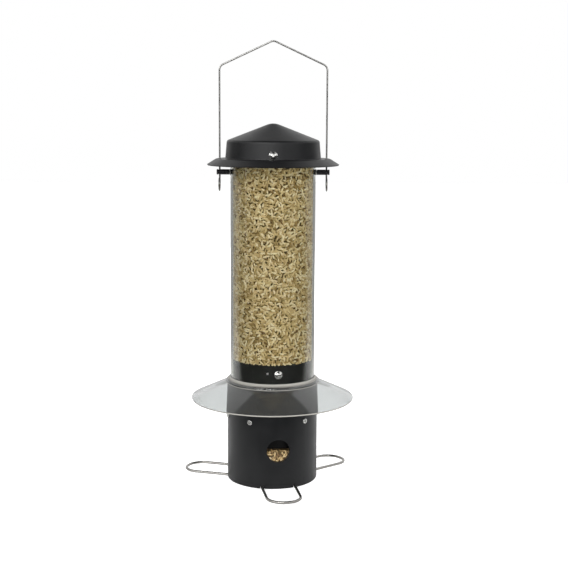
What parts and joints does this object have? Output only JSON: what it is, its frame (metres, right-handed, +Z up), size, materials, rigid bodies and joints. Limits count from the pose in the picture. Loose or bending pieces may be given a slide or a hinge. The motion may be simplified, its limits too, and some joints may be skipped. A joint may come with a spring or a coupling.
{
  "type": "hanging seed feeder",
  "caption": "Clear tube seed feeder in a black canister with round ports and wire perches, a clear rain shield, and a black lid that slides up a wire hanger.",
  "frame": {"origin": "centre of the underside, on the plane that the feeder stands on and on the tube's axis", "axes": "+Z up along the tube, -Y to the front where the first lid screw is, +X to the right along the cross rod"},
  "size_m": [0.2046, 0.2071, 0.5197],
  "materials": {
    "clear_tube": "clear, glossy, pale grey-green at its edges",
    "clear_shield": "clear, glossy, lightly smoked",
    "seed": "husked sunflower hearts, matt cream to tan",
    "moulded_black": "moulded, fine satin",
    "black_coat": "satin powder coat with a fine texture",
    "stainless_wire": "drawn wire, bright",
    "stainless_sheet": "brushed sheet",
    "screw_steel": "polished heads",
    "rivet_metal": "bright",
    "rod_black": "satin black",
    "grommet_rubber": "soft grey"
  },
  "bodies": {
    "feeder": {"seed_tube": "clear_tube", "seed_fill": "seed", "base_seed": "seed", "inner_pot": "moulded_black", "base_housing": "black_coat", "seed_funnel": "moulded_black", "seed_cone": "moulded_black", "base_floor": "moulded_black", "perch_front": "stainless_wire", "perch_right": "stainless_wire", "perch_left": "stainless_wire", "perch_clamp": "stainless_sheet", "clamp_screws": "screw_steel", "collar_screws": "screw_steel", "collar_nuts": "screw_steel", "collar_rivets": "rivet_metal", "housing_screws": "screw_steel", "cross_rod": "stainless_wire", "rod_end_left": "rod_black", "rod_end_right": "rod_black", "rod_grommets": "grommet_rubber"},
    "lid": {"lid_shell": "black_coat", "lid_liner": "moulded_black", "lid_screws": "screw_steel", "lid_nuts": "screw_steel"},
    "shield": {"rain_shield": "clear_shield"},
    "hanger": {"hanger_wire": "stainless_wire"}
  },
  "joints": [
    {"name": "lid_lift", "type": "slide", "parent": "feeder", "child": "lid", "axis": [0, 0, 1], "range_m": [0, 0.085]},
    {"name": "hanger_takeup", "type": "slide", "parent": "feeder", "child": "hanger", "axis": [0, 0, 1], "range_m": [0, 0.0045]},
    {"name": "shield_spin", "type": "hinge", "parent": "feeder", "child": "shield", "pos_m": [0, 0, 0.12], "axis": [0, 0, 1], "continuous": true}
  ]
}
